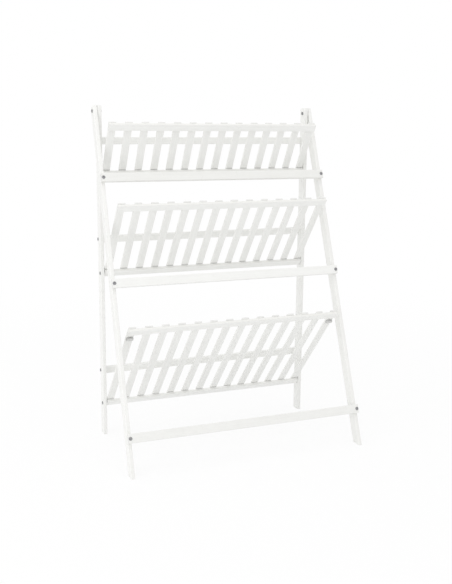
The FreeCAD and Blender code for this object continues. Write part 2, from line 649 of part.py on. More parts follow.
def make_shelf(shelf):
    """One hinged shelf: slats on two battens, its hinge bolts and what goes with them."""
    rows = dict(brad_rows(shelf))
    make_slats(shelf)
    make_brads(shelf)
    make_batten(shelf, "front", "-(sizes.%s_reach - sizes.slat_overhang)" % shelf, rows["front"])
    make_batten(shelf, "rear", "sizes.hinge_inset - sizes.batten_wide", rows["rear"])

    def place(body):
        place_shelf(body, shelf)

    make_bolts(shelf + "_shelf_hinge_bolts", "places.post_outer + sizes.face_gap", "places.shelf_half",
               ("0", "0"), place)
    make_inserts(shelf + "_shelf_hinge_inserts", "places.shelf_half", ("0", "0"), place)
    make_washers(shelf)


def check_document():
    """Stop if any object failed or any node is empty or not valid."""
    for item in doc.Objects:
        if any(word in ("Invalid", "Error") for word in item.State):
            raise RuntimeError("%s is %s" % (item.Name, item.State))
    for body in nodes:
        if body.Shape.isNull() or not body.Shape.isValid():
            raise RuntimeError("%s has no valid shape" % body.Label)


def write_parts():
    """Write one file for each node."""
    os.makedirs("parts", exist_ok=True)
    for body in nodes:
        body.Shape.exportStep("parts/%s.step" % body.Label)
        print("%-30s solids %3d  volume %10.1f" % (body.Label, len(body.Shape.Solids), body.Shape.Volume))


fill_sheets()
make_rear_posts()
make_back_rails()
make_front_legs()
make_front_rails()
make_leg_pivots()
for shelf_name in SHELVES:
    make_shelf(shelf_name)
make_rest_pads()
doc.recompute()
check_document()
write_parts()
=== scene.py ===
"""Looks of a folding bamboo shelf: white paint over bamboo, plated bolts, brass, nylon and rubber."""

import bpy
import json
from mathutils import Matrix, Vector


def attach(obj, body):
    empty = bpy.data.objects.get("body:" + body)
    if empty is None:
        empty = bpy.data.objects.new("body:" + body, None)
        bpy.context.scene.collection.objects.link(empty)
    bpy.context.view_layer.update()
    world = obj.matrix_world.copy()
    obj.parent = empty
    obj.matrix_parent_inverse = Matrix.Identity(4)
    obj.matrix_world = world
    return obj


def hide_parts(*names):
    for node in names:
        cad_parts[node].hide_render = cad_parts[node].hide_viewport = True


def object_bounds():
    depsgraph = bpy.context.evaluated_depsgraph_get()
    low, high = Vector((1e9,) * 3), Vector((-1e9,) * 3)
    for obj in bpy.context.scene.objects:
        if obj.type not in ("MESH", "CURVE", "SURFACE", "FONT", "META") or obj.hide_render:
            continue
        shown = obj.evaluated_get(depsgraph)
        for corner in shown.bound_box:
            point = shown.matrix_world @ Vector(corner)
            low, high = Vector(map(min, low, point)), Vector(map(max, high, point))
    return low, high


bl_info = {
    "name": "Folding Bamboo Shelf Looks",
    "version": (1, 0, 0),
    "blender": (4, 5, 0),
    "location": "View3D > Sidebar > Shelf",
    "description": "Paints the folding shelf, finishes its fittings and sets up the studio",
    "category": "Object",
}

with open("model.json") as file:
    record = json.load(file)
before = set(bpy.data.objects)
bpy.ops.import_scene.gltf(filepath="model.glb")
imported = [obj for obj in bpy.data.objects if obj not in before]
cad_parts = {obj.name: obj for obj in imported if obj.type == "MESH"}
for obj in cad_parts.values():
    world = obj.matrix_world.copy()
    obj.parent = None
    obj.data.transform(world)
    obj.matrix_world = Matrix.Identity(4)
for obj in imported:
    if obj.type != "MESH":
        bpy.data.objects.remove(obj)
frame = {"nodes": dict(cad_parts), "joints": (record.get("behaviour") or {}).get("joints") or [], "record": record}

import json
import math

import bpy
import numpy as np
from bpy.props import FloatProperty, FloatVectorProperty, IntProperty, PointerProperty
from bpy.types import Operator, Panel, PropertyGroup
from mathutils import Matrix, Vector

CAD_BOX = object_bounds()
JOINTS = {joint["name"]: joint for joint in frame["joints"]}
MOUNTS = {mount["name"]: mount for mount in frame["record"]["mounts"]}
SHELVES = ("top", "middle", "bottom")
LEVELS = ("upper", "middle", "lower")
SIDES = ("left", "right")
MILLIMETRES = 1000.0

# Which axis runs along the grain, across the wide side and through the thickness of a bar
UPRIGHT = "zyx"
CROSSWISE = "xzy"
SLATWISE = "zxy"

# How much darker, or lighter if below 0, single bars are painted than the rest: painted shade on the upper and
# lower front rails, painted light on the bottom shelf's rear batten
BAR_SHADING = {"upper_front_rail": 0.55, "lower_front_rail": 0.45, "bottom_shelf_rear_batten": -0.50}

# How much darker the narrow sides of the battens are painted, as painted shade on the sides that face along the
# slats
BATTEN_SIDE_SHADE = 0.6

# Number that starts the draws of each kind of bar, and the step from one bar to the next
POST_SEED = 101
LEG_SEED = 211
UPRIGHT_STEP = 40
BACK_RAIL_SEED = 307
FRONT_RAIL_SEED = 401
RAIL_STEP = 20
SLAT_SEED = 503
SLAT_STEP = 90
BATTEN_SEED = 809
BATTEN_STEP = 30
BATTEN_END_STEP = 15

# How the draws of strips, knots and slats are kept apart
SPARE_KEYS = 3
KEY_SPREAD = 11.0
SECOND_DRAW = 0.5
SLAT_DRAW = 3.0
KNOT_SPREAD = 5.0

# Line between two strips and waviness of a knot, in millimetres
LINE_WIDE = 0.35
KNOT_WAVE = 3.0

# Noise in the paint: cells in a millimetre along and across the grain, detail and roughness
PAINT_NOISE = {
    "wave": (0.05, 0.4, 2.0, 0.5),
    "fibre": (0.035, 1.9, 3.0, 0.6),
    "streak": (0.006, 0.33, 2.0, 0.5),
    "spray": (0.021, 0.03, 3.0, 0.5),
    "skin": (0.75, 0.75, 2.0, 0.5),
    "rub": (0.11, 0.3, 4.0, 0.65),
}

# The same cells for the scuffs above the feet
SCUFF_ALONG = 0.35
SCUFF_ACROSS = 0.12

# Between which values of its noise, or of the facing of an end, a mark comes up
PAINT_BANDS = {
    "fibre": (0.45, 0.70),
    "streak": (0.42, 0.72),
    "spray": (0.40, 0.75),
    "rub": (0.52, 0.74),
    "scuff": (0.50, 0.72),
    "end": (0.15, 0.75),
}

# How much each mark thins the paint, roughens it and lifts its skin
THINNING = {"streak": 0.20, "fibre": 0.16, "line": 0.22, "knot": 0.26, "strip": 0.20, "spray": 0.16,
            "slat": 0.18, "scuff": 0.6}
ROUGHENING = {"skin": 0.12, "thin_and_shaded": 0.10, "worn": 0.10, "sunk": 0.15}
LIFT = {"fibre": 0.55, "skin": 0.35, "knot": 0.9, "line": -0.8, "worn": -0.5}

# How far worn edges, sunk ends and the painted shade in the corner beyond a rear batten show, and how uneven the
# skin makes them
WORN_SHOWS = 0.18
SUNK_LEAST = 0.625
SUNK_UNEVEN = 0.5
SHADE_LEAST = 0.55
SHADE_UNEVEN = 0.6

# Share of the height of the painted shade in the corner beyond a rear batten that is dark all through
SEAM_SHADE_FULL = 1 / 3

# How strongly light is bent by paint, nylon and rubber
PAINT_IOR = 1.48
NYLON_IOR = 1.53
RUBBER_IOR = 1.52

# Share of the fade distance at which the floor starts to fade
FADE_START = 0.25


class ShelfPaint(PropertyGroup):
    """The white paint and the bamboo under it."""

    white: FloatVectorProperty(
        name="Paint", description="Colour of the paint where it lies thick", subtype="COLOR",
        size=3, min=0, max=1, default=(0.900, 0.902, 0.884))
    # This colour also takes the painted shade of the battens' narrow sides and of single bars
    thin_and_shaded: FloatVectorProperty(
        name="Thin Paint", description="Colour of the paint where the bamboo grain starts to show",
        subtype="COLOR", size=3, min=0, max=1, default=(0.815, 0.814, 0.790))
    bamboo: FloatVectorProperty(
        name="Bare Bamboo", description="Colour of the bamboo where an edge is rubbed through",
        subtype="COLOR", size=3, min=0, max=1, default=(0.66, 0.56, 0.40))
    end_grain: FloatVectorProperty(
        name="End Grain", description="Colour of the paint where it has sunk into the end of a bar",
        subtype="COLOR", size=3, min=0, max=1, default=(0.77, 0.77, 0.755))
    # Colour of the painted shade in the corner between slat and rear batten
    seam: FloatVectorProperty(
        name="Seam", description="Colour in the dusty corner between slat and rear batten",
        subtype="COLOR", size=3, min=0, max=1, default=(0.60, 0.60, 0.59))
    seam_shade_tall: FloatProperty(
        name="Seam Height", description="How far the dark corner reaches up the slat",
        unit="LENGTH", subtype="DISTANCE", default=0.0048)
    strip_wide: FloatProperty(
        name="Strip Width", description="Widest bamboo strip that the bars are glued up from",
        unit="LENGTH", subtype="DISTANCE", default=0.0085)
    knot_gap: FloatProperty(
        name="Knot Spacing", description="Distance between the knots of one bamboo strip",
        unit="LENGTH", subtype="DISTANCE", default=0.23)
    knot_wide: FloatProperty(
        name="Knot Width", description="Half the width of the raised line that a knot leaves in the paint",
        unit="LENGTH", subtype="DISTANCE", default=0.0026)
    edge_wide: FloatProperty(
        name="Edge Width", description="Width of the rubbed band along the edges of a bar",
        unit="LENGTH", subtype="DISTANCE", default=0.0014)
    scuff_tall: FloatProperty(
        name="Scuff Height", description="Height of the scuffed zone above the feet",
        unit="LENGTH", subtype="DISTANCE", default=0.055)
    relief: FloatProperty(
        name="Grain Relief", description="Depth of the grain that shows through the paint",
        unit="LENGTH", subtype="DISTANCE", default=0.00016)
    satin: FloatProperty(
        name="Satin", description="Roughness of the smoothest paint", subtype="FACTOR",
        min=0, max=1, default=0.38)
    slat_count: IntProperty(
        name="Slats", description="Number of slats in each shelf", min=2, default=14)
    slat_wide: FloatProperty(
        name="Slat Width", description="Width of one slat",
        unit="LENGTH", subtype="DISTANCE", default=0.022)


class ShelfFittings(PropertyGroup):
    """Colours and forms of the bolts, inserts, washers, brads and pads."""

    steel: FloatVectorProperty(
        name="Plating", description="Colour of the bright zinc plating", subtype="COLOR",
        size=3, min=0, max=1, default=(0.42, 0.42, 0.43))
    dull_steel: FloatVectorProperty(
        name="Dull Plating", description="Colour of the zinc plating where it has dulled", subtype="COLOR",
        size=3, min=0, max=1, default=(0.13, 0.13, 0.135))
    brass: FloatVectorProperty(
        name="Brass", description="Colour of the turned brass inserts", subtype="COLOR",
        size=3, min=0, max=1, default=(0.72, 0.54, 0.27))
    dull_brass: FloatVectorProperty(
        name="Dull Brass", description="Colour of the brass in its grooves", subtype="COLOR",
        size=3, min=0, max=1, default=(0.42, 0.30, 0.14))
    nylon: FloatVectorProperty(
        name="Nylon", description="Colour of the washers and spacers", subtype="COLOR",
        size=3, min=0, max=1, default=(0.83, 0.83, 0.81))
    dull_nylon: FloatVectorProperty(
        name="Dull Nylon", description="Colour of the nylon where it is rubbed", subtype="COLOR",
        size=3, min=0, max=1, default=(0.70, 0.70, 0.67))
    brad: FloatVectorProperty(
        name="Painted Brad", description="Colour of the paint over the brad heads", subtype="COLOR",
        size=3, min=0, max=1, default=(0.80, 0.80, 0.79))
    bare_brad: FloatVectorProperty(
        name="Bare Brad", description="Colour of a brad where the paint is thin", subtype="COLOR",
        size=3, min=0, max=1, default=(0.56, 0.56, 0.56))
    # The sides are drawn darker than the face: painted shade
    rubber: FloatVectorProperty(
        name="Rubber", description="Colour of the sides of the rest pads", subtype="COLOR",
        size=3, min=0, max=1, default=(0.51, 0.51, 0.504))
    dusty_rubber: FloatVectorProperty(
        name="Dusty Rubber", description="Colour of the sides of the rest pads where dust clings",
        subtype="COLOR", size=3, min=0, max=1, default=(0.60, 0.60, 0.588))
    # Paler face of the pad: painted light, set against the shaded sides
    rubbed_rubber: FloatVectorProperty(
        name="Rubbed Rubber", description="Colour of the face of a rest pad, rubbed pale by the rail",
        subtype="COLOR", size=3, min=0, max=1, default=(0.66, 0.66, 0.65))
    pad_edge: FloatProperty(
        name="Pad Edge", description="Radius of the moulded edge of a rest pad",
        unit="LENGTH", subtype="DISTANCE", default=0.0014)
    pad_crown: FloatProperty(
        name="Pad Crown", description="How far the face of a rest pad swells in its middle",
        unit="LENGTH", subtype="DISTANCE", default=0.0005)
    pad_square: FloatProperty(
        name="Pad Squareness", description="Power of the pad's outline: 2 is round, more is squarer",
        min=2, default=7.0)


class ShelfStage(PropertyGroup):
    """Floor, light and camera of the studio."""

    floor_half: FloatProperty(
        name="Floor Size", description="Half the side of the floor", unit="LENGTH", subtype="DISTANCE",
        default=24.0)
    floor: FloatVectorProperty(
        name="Floor", description="Colour of the floor", subtype="COLOR", size=3, min=0, max=1,
        default=(0.90, 0.90, 0.90))
    floor_white: FloatProperty(
        name="Floor Whiteness", description="Share of plain white in the floor as the camera sees it",
        subtype="FACTOR", min=0, max=1, default=0.85)
    floor_fade: FloatProperty(
        name="Floor Fade", description="Distance from the shelf at which the floor is plain white",
        unit="LENGTH", subtype="DISTANCE", default=2.6)
    sky: FloatProperty(
        name="Sky Light", description="Brightness of the even light from all round", min=0, default=0.91)
    key_power: FloatProperty(
        name="Key Light", description="Power of the large soft light above the shelf", unit="POWER",
        min=0, default=26.0)
    key_size: FloatProperty(
        name="Key Size", description="Side of the large soft light", unit="LENGTH", subtype="DISTANCE",
        default=3.2)
    key_place: FloatVectorProperty(
        name="Key Place", description="Where the large soft light hangs", subtype="TRANSLATION",
        unit="LENGTH", size=3, default=(-0.9, -0.5, 3.6))
    fill_power: FloatProperty(
        name="Fill Light", description="Power of the soft light low on the left", unit="POWER",
        min=0, default=22.0)
    fill_size: FloatProperty(
        name="Fill Size", description="Side of the low soft light", unit="LENGTH", subtype="DISTANCE",
        default=2.2)
    fill_place: FloatVectorProperty(
        name="Fill Place", description="Where the low soft light stands", subtype="TRANSLATION",
        unit="LENGTH", size=3, default=(-3.6, -2.0, 0.7))
    lens: FloatProperty(
        name="Lens", description="Focal length of the camera in millimetres on a 36 mm sensor",
        default=53.67)
    camera_place: FloatVectorProperty(
        name="Camera Place", description="Where the camera stands", subtype="TRANSLATION", unit="LENGTH",
        size=3, default=(-0.9688, -2.3241, 0.9502))
    camera_heading: FloatProperty(
        name="Heading", description="How far the camera is turned to the right of straight ahead",
        unit="ROTATION", subtype="ANGLE", default=math.radians(22.522))
    camera_dip: FloatProperty(
        name="Dip", description="How far the camera looks down", unit="ROTATION", subtype="ANGLE",
        default=math.radians(11.151))
    camera_roll: FloatProperty(
        name="Roll", description="How far the camera is rolled about its own view", unit="ROTATION",
        subtype="ANGLE", default=math.radians(0.501))


class Wire:
    """A socket that takes part in sums: each operator adds one Math node to the socket's tree."""

    def __init__(self, finish, socket):
        self.finish = finish
        self.socket = socket

    def out(self, name):
        """Another output of the same node."""
        return Wire(self.finish, self.socket.node.outputs[name])

    def math(self, operation, *values):
        return self.finish.node("ShaderNodeMath", {"operation": operation}, dict(enumerate(values)))

    def __add__(self, other):
        return self.math("ADD", self, other)

    def __radd__(self, other):
        return self.math("ADD", other, self)

    def __sub__(self, other):
        return self.math("SUBTRACT", self, other)

    def __rsub__(self, other):
        return self.math("SUBTRACT", other, self)

    def __mul__(self, other):
        return self.math("MULTIPLY", self, other)

    def __rmul__(self, other):
        return self.math("MULTIPLY", other, self)

    def __truediv__(self, other):
        return self.math("DIVIDE", self, other)

    def __abs__(self):
        return self.math("ABSOLUTE", self)

    def __or__(self, other):
        """The larger of two masks."""
        return self.math("MAXIMUM", self, other)

    def __and__(self, other):
        """The smaller of two masks."""
        return self.math("MINIMUM", self, other)

    def floor(self):
        return self.math("FLOOR", self)

    def fraction(self):
        return self.math("FRACT", self)


class Finish:
    """A node tree being written: of a new material, or of the world that is handed in."""

    def __init__(self, name, owner=None):
        self.owner = owner or bpy.data.materials.new(name)
        self.owner.use_nodes = True
        self.tree = self.owner.node_tree
        self.tree.nodes.clear()

    def node(self, kind, settings=None, sockets=None):
        """Add one node: its settings first, then the values or links of its sockets."""
        made = self.tree.nodes.new(kind)
        for name, value in (settings or {}).items():
            setattr(made, name, value)
        for key, value in (sockets or {}).items():
            socket = made.inputs[key]
            if isinstance(value, Wire):
                self.tree.links.new(value.socket, socket)
            elif socket.type == "RGBA":
                socket.default_value = (*value[:3], 1.0)
            else:
                socket.default_value = value
        return Wire(self, made.outputs[0]) if len(made.outputs) else None

    def millimetres(self, turn=0.0, lean=0.0):
        """Object coordinates turned about X, then about Y, and measured in millimetres, as x, y and z."""
        place = self.node("ShaderNodeTexCoord").out("Object")
        turned = self.node("ShaderNodeMapping", {"vector_type": "POINT"},
                           {"Vector": place, "Rotation": (turn, lean, 0), "Scale": [MILLIMETRES] * 3})
        split = self.node("ShaderNodeSeparateXYZ", None, {"Vector": turned})
        return {"x": split.out("X"), "y": split.out("Y"), "z": split.out("Z")}

    def facing(self, axis, turn, lean):
        """How squarely the surface faces along an axis of the turned piece, from 0 to 1."""
        normal = self.node("ShaderNodeTexCoord").out("Normal")
        turned = self.node("ShaderNodeMapping", {"vector_type": "NORMAL"},
                           {"Vector": normal, "Rotation": (turn, lean, 0)})
        return abs(self.node("ShaderNodeSeparateXYZ", None, {"Vector": turned}).out(axis.upper()))

    def noise(self, x, y, z, detail=2.0, rough=0.5):
        """Noise of about 0 to 1 that changes over one unit of the three values."""
        place = self.node("ShaderNodeCombineXYZ", None, {"X": x, "Y": y, "Z": z})
        return self.node("ShaderNodeTexNoise", {"noise_dimensions": "3D"},
                         {"Vector": place, "Scale": 1.0, "Detail": detail, "Roughness": rough})

    def cells(self, place, along, across=None, detail=2.0, rough=0.5):
        """Noise of so many cells in a millimetre along X, and of as many across it if none are given."""
        across = along if across is None else across
        return self.noise(place["x"] * along, place["y"] * across, place["z"] * across, detail, rough)

    def chance(self, number):
        """A steady random value of 0 to 1 for each whole number."""
        return self.node("ShaderNodeTexWhiteNoise", {"noise_dimensions": "1D"}, {"W": number})

    def step(self, value, low, high):
        """A smooth rise from 0 at low to 1 at high."""
        return self.node("ShaderNodeMapRange", {"interpolation_type": "SMOOTHSTEP"},
                         {"Value": value, "From Min": low, "From Max": high})

    def mix(self, factor, first, second):
        """A colour that goes from first to second as the factor goes from 0 to 1."""
        factor_socket, first_socket, second_socket, result = 0, 6, 7, 2
        made = self.node("ShaderNodeMix", {"data_type": "RGBA"},
                         {factor_socket: factor, first_socket: first, second_socket: second})
        return Wire(self, made.socket.node.outputs[result])

    def surface(self, colour, roughness, height, relief, fixed):
        """Finish the material with one Principled shader; fixed holds its plain values."""
        bump = self.node("ShaderNodeBump", None, {"Height": height, "Distance": relief, "Strength": 1.0})
        sockets = {"Base Color": colour, "Roughness": roughness, "Normal": bump, **fixed}
        shader = self.node("ShaderNodeBsdfPrincipled", None, sockets)
        self.node("ShaderNodeOutputMaterial", None, {"Surface": shader})
        return self.owner


def leg_turn():
    """Angle that turns an open front leg upright, from its pivot and the middle of its foot."""
    pivot = JOINTS["leg_fold"]["pos_m"]
    foot = MOUNTS["front_left_foot"]["pos_m"]
    return math.atan2(pivot[1] - foot[1], pivot[2] - foot[2])


def leg_lean(side):
    """Angle that then stands a spread front leg plumb, from the slope of its points."""
    points = turned_points(side + "_front_leg", leg_turn())
    slope = np.polyfit(points[:, 2], points[:, 0], 1)[0]
    return -math.atan(slope)


def shelf_turn(shelf):
    """Angle that turns a half-raised shelf upright: all the travel that its hinge has left."""
    return -math.radians(JOINTS[shelf + "_shelf_hinge"]["range_deg"][1])


def turned_points(node, turn, lean=0.0):
    """Points of a CAD node, turned about X and then about Y, in millimetres."""
    mesh = frame["nodes"][node].data
    points = np.empty(len(mesh.vertices) * 3)
    mesh.vertices.foreach_get("co", points)
    turning = np.array(Matrix.Rotation(lean, 3, "Y") @ Matrix.Rotation(turn, 3, "X"))
    return points.reshape(-1, 3) @ turning.T * MILLIMETRES


def dress(node, material):
    """Put a material on a CAD node in place of the plain one."""
    slots = frame["nodes"][node].material_slots
    if not slots:
        raise RuntimeError("%s has no material slot" % node)
    for slot in slots:
        slot.material = material


def weighed(start, shares, values):
    """The start, plus every value times its share."""
    for name, value in values.items():
        start = start + shares[name] * value
    return start


def paint_bamboo(paint, node, turn, layout, seed, rows=1, foot=False, lean=0.0, side_shade=0.0, seam=None):
    """Satin white paint over laminated bamboo, on one bar or on a row of like bars.

    The bar is cut into strips across its wide side. Every strip has its own tone and its own knots, a
    raised line at a steady spacing along the grain. Long thin noise gives the fibres, wide noise the
    uneven spray, fine noise its skin. Where two faces meet, paint is rubbed through in places. On the
    ends the paint has sunk in and is greyer. The narrow sides are darkened as painted shade, and single
    bars get painted shade or painted light from their own tone. The seam is the place along the grain
    at which a batten crosses the underside; the corner beyond it gets painted shade.
    """
    finish = Finish(node + "_paint")
    place = finish.millimetres(turn, lean)
    points = turned_points(node, turn, lean)
    middle = dict(zip("xyz", (points.min(0) + points.max(0)) / 2))
    half = dict(zip("xyz", (points.max(0) - points.min(0)) / 2))
    along, side, deep = (place[axis] - middle[axis] for axis in layout)
    half_long, half_wide, half_deep = (half[axis] for axis in layout)
    wide = 2 * half_wide
    bar = None
    if rows > 1:
        wide = paint.slat_wide * MILLIMETRES
        pitch = (2 * half_wide - wide) / (rows - 1)
        bar = ((side + half_wide + (pitch - wide) / 2) / pitch).floor()
        side = side + half_wide - wide / 2 - bar * pitch
    strips = max(1, math.ceil(wide / (paint.strip_wide * MILLIMETRES)))
    strip_wide = wide / strips
    strip_place = side / strip_wide + strips / 2
    strip = (strip_place.floor() | 0.0) & (strips - 1.0)
    key = strip + seed if bar is None else strip + bar * (strips + SPARE_KEYS) + seed
    spread = key * KEY_SPREAD

    def grain(name, shift):
        """One noise of the paint, moved across the grain by the shift."""
        cells_along, cells_across, detail, rough = PAINT_NOISE[name]
        return finish.noise(along * cells_along, side * cells_across + shift, deep * cells_across,
                            detail, rough)

    # Lines between the strips, and the knots across each strip
    from_line = (0.5 - abs(strip_place.fraction() - 0.5)) * strip_wide
    line = 1 - finish.step(from_line, 0.0, LINE_WIDE)
    knot_gap = paint.knot_gap * MILLIMETRES
    knot_place = along / knot_gap + finish.chance(key + SECOND_DRAW) * KNOT_SPREAD
    from_knot = abs(knot_place.fraction() - 0.5) * knot_gap + (grain("wave", spread) - 0.5) * KNOT_WAVE
    knot = 1 - finish.step(abs(from_knot), 0.0, paint.knot_wide * MILLIMETRES)

    # Bands beside the edges, where two faces meet, and the ends
    edge = paint.edge_wide * MILLIMETRES
    by_side = finish.step(abs(side), wide / 2 - edge, wide / 2)
    by_face = finish.step(abs(deep), half_deep - edge, half_deep)
    by_end = finish.step(abs(along), half_long - edge, half_long)
    corner = by_side * by_face | by_side * by_end | by_face * by_end
    worn = corner * finish.step(grain("rub", spread), *PAINT_BANDS["rub"])
    skin = grain("skin", seed)
    end_facing = finish.step(finish.facing(layout[0], turn, lean), *PAINT_BANDS["end"])
    sunk = end_facing * (SUNK_LEAST + SUNK_UNEVEN * skin)

    # Marks that thin the paint
    fibre = grain("fibre", spread)
    marks = {"fibre": finish.step(fibre, *PAINT_BANDS["fibre"]), "line": line, "knot": knot,
             "strip": finish.chance(key)}
    for name, shift in (("streak", spread), ("spray", seed)):
        marks[name] = finish.step(grain(name, shift), *PAINT_BANDS[name])
    if bar is not None:
        marks["slat"] = finish.chance(bar + seed * SLAT_DRAW)
    if foot:
        near_foot = 1 - finish.step(along + half_long, 0.0, paint.scuff_tall * MILLIMETRES)
        scuff = finish.noise(along * SCUFF_ALONG, side * SCUFF_ACROSS, deep * SCUFF_ACROSS + seed,
                             detail=4.0, rough=0.65)
        marks["scuff"] = near_foot * finish.step(scuff, *PAINT_BANDS["scuff"])
    # The thinning also carries painted shade on the battens' narrow sides, and painted shade or painted light on
    # single bars
    thin_and_shaded = weighed(side_shade * by_side + BAR_SHADING.get(node, 0.0), THINNING, marks)

    colour = finish.mix(thin_and_shaded, paint.white, paint.thin_and_shaded)
    colour = finish.mix(worn * WORN_SHOWS, colour, paint.bamboo)
    colour = finish.mix(sunk, colour, paint.end_grain)
    # Painted shade: the underside of each slat is darkened in a band just beyond the rear batten, where the corner
    # lies in shade
    if seam is not None:
        seam_shade_tall = paint.seam_shade_tall * MILLIMETRES
        beyond = place[layout[0]] - seam
        under = 1 - finish.step(deep, -half_deep, edge - half_deep)
        fading = finish.step(beyond, seam_shade_tall * SEAM_SHADE_FULL, seam_shade_tall)
        corner_shade = finish.step(beyond, -edge, 0.0) * (1 - fading)
        colour = finish.mix(under * corner_shade * (SHADE_LEAST + SHADE_UNEVEN * skin), colour, paint.seam)
    roughness = weighed(paint.satin, ROUGHENING, {"skin": skin, "thin_and_shaded": thin_and_shaded, "worn": worn, "sunk": sunk})
    height = weighed(0.0, LIFT, {"fibre": fibre, "skin": skin, "knot": knot, "line": line, "worn": worn})
    dress(node, finish.surface(colour, roughness, height, paint.relief, {"IOR": PAINT_IOR}))


def plate_steel(fittings, node):
    """Dull zinc plating: cloudy patches of bright and dull metal with a fine brushed skin."""
    cloud_share, speck_share = 0.65, 0.25
    bright_rough, dull_rough, spin_rough = 0.34, 0.16, 0.10
    spin_lift, speck_lift = 0.6, 0.4
    finish = Finish(node + "_plating")
    place = finish.millimetres()
    cloud = finish.cells(place, along=0.6, detail=4.0, rough=0.6)
    speck = finish.cells(place, along=5.0, detail=2.0)
    spin = finish.cells(place, along=6.0, across=0.8, detail=3.0)
    dull = cloud_share * finish.step(cloud, low=0.35, high=0.68)
    dull = dull + speck_share * finish.step(speck, low=0.55, high=0.75)
    colour = finish.mix(dull, fittings.steel, fittings.dull_steel)
    roughness = bright_rough + dull_rough * dull + spin_rough * spin
    height = spin_lift * spin + speck_lift * speck
    dress(node, finish.surface(colour, roughness, height, relief=0.00002, fixed={"Metallic": 1.0}))


def turn_brass(fittings, node):
    """Turned brass: fine rings at a steady spacing along X, with dull grooves between them."""
    rings, ring_drift = 1.6, 0.3
    groove_share, drift_share = 0.55, 0.35
    bright_rough, dull_rough = 0.26, 0.20
    drift_lift = 0.3
    finish = Finish(node + "_brass")
    place = finish.millimetres()
    drift = finish.cells(place, along=0.8, across=0.5, detail=3.0)
    ring = abs((place["x"] * rings + drift * ring_drift).fraction() - 0.5) * 2.0
    groove = 1 - finish.step(ring, low=0.15, high=0.55)
    dull = groove_share * groove + drift_share * drift
    colour = finish.mix(dull, fittings.brass, fittings.dull_brass)
    roughness = bright_rough + dull_rough * dull
    height = ring + drift_lift * drift
    dress(node, finish.surface(colour, roughness, height, relief=0.00004, fixed={"Metallic": 1.0}))


def mould_nylon(fittings, node):
    """Moulded white nylon: soft mottling, rubbed patches and a fine pebbled skin."""
    rubbed_share, pebble_share = 0.7, 0.15
    plain_rough, pebble_rough, rubbed_smooth = 0.46, 0.14, 0.10
    finish = Finish(node + "_nylon")
    place = finish.millimetres()
    mottle = finish.cells(place, along=0.4, across=0.25, detail=3.0)
    pebble = finish.cells(place, along=3.0, detail=2.0)
    rubbed = finish.step(mottle, low=0.42, high=0.72)
    colour = finish.mix(rubbed_share * rubbed + pebble_share * pebble, fittings.nylon, fittings.dull_nylon)
    roughness = plain_rough + pebble_rough * pebble - rubbed_smooth * rubbed
    dress(node, finish.surface(colour, roughness, pebble, relief=0.00003, fixed={"IOR": NYLON_IOR}))


def paint_brads(fittings, node):
    """Brad heads under the white paint: the steel greys it where the paint is thin."""
    cover_share, pit_share = 0.6, 0.3
    plain_rough, pit_rough = 0.42, 0.14
    finish = Finish(node + "_brad_paint")
    place = finish.millimetres()
    cover = finish.cells(place, along=0.9, detail=3.0)
    pit = finish.cells(place, along=4.0, detail=2.0)
    bare = cover_share * finish.step(cover, low=0.45, high=0.70)
    bare = bare + pit_share * finish.step(pit, low=0.55, high=0.75)
    colour = finish.mix(bare, fittings.brad, fittings.bare_brad)
    roughness = plain_rough + pit_rough * pit
    dress(node, finish.surface(colour, roughness, pit, relief=0.00003, fixed={"IOR": PAINT_IOR}))


def rubber_material(fittings, name, turn):
    """Matt grey rubber: fine moulded grain with dust in its hollows, and painted light on its face, which is drawn
    paler than the shaded sides.
    """
    cloud_share, hollow_share = 0.6, 0.4
    lit_face_least, lit_face_uneven = 0.68, 0.4
    clean_rough, dust_rough = 0.66, 0.20
    finish = Finish(name + "_rubber")
    place = finish.millimetres()
    grain = finish.cells(place, along=2.4, detail=3.0, rough=0.6)
    cloud = finish.cells(place, along=0.22, detail=3.0)
    dust = cloud_share * finish.step(cloud, low=0.40, high=0.70)
    dust = dust + hollow_share * (1 - finish.step(grain, low=0.35, high=0.60))
    face = finish.step(finish.facing("y", turn, 0.0), low=0.55, high=0.95)
    colour = finish.mix(dust, fittings.rubber, fittings.dusty_rubber)
    # Painted light: the face of the pad is drawn paler than its shaded sides
    colour = finish.mix(face * (lit_face_least + lit_face_uneven * grain), colour, fittings.rubbed_rubber)
    roughness = clean_rough + dust_rough * dust
    return finish.surface(colour, roughness, grain, relief=0.00012, fixed={"IOR": RUBBER_IOR})


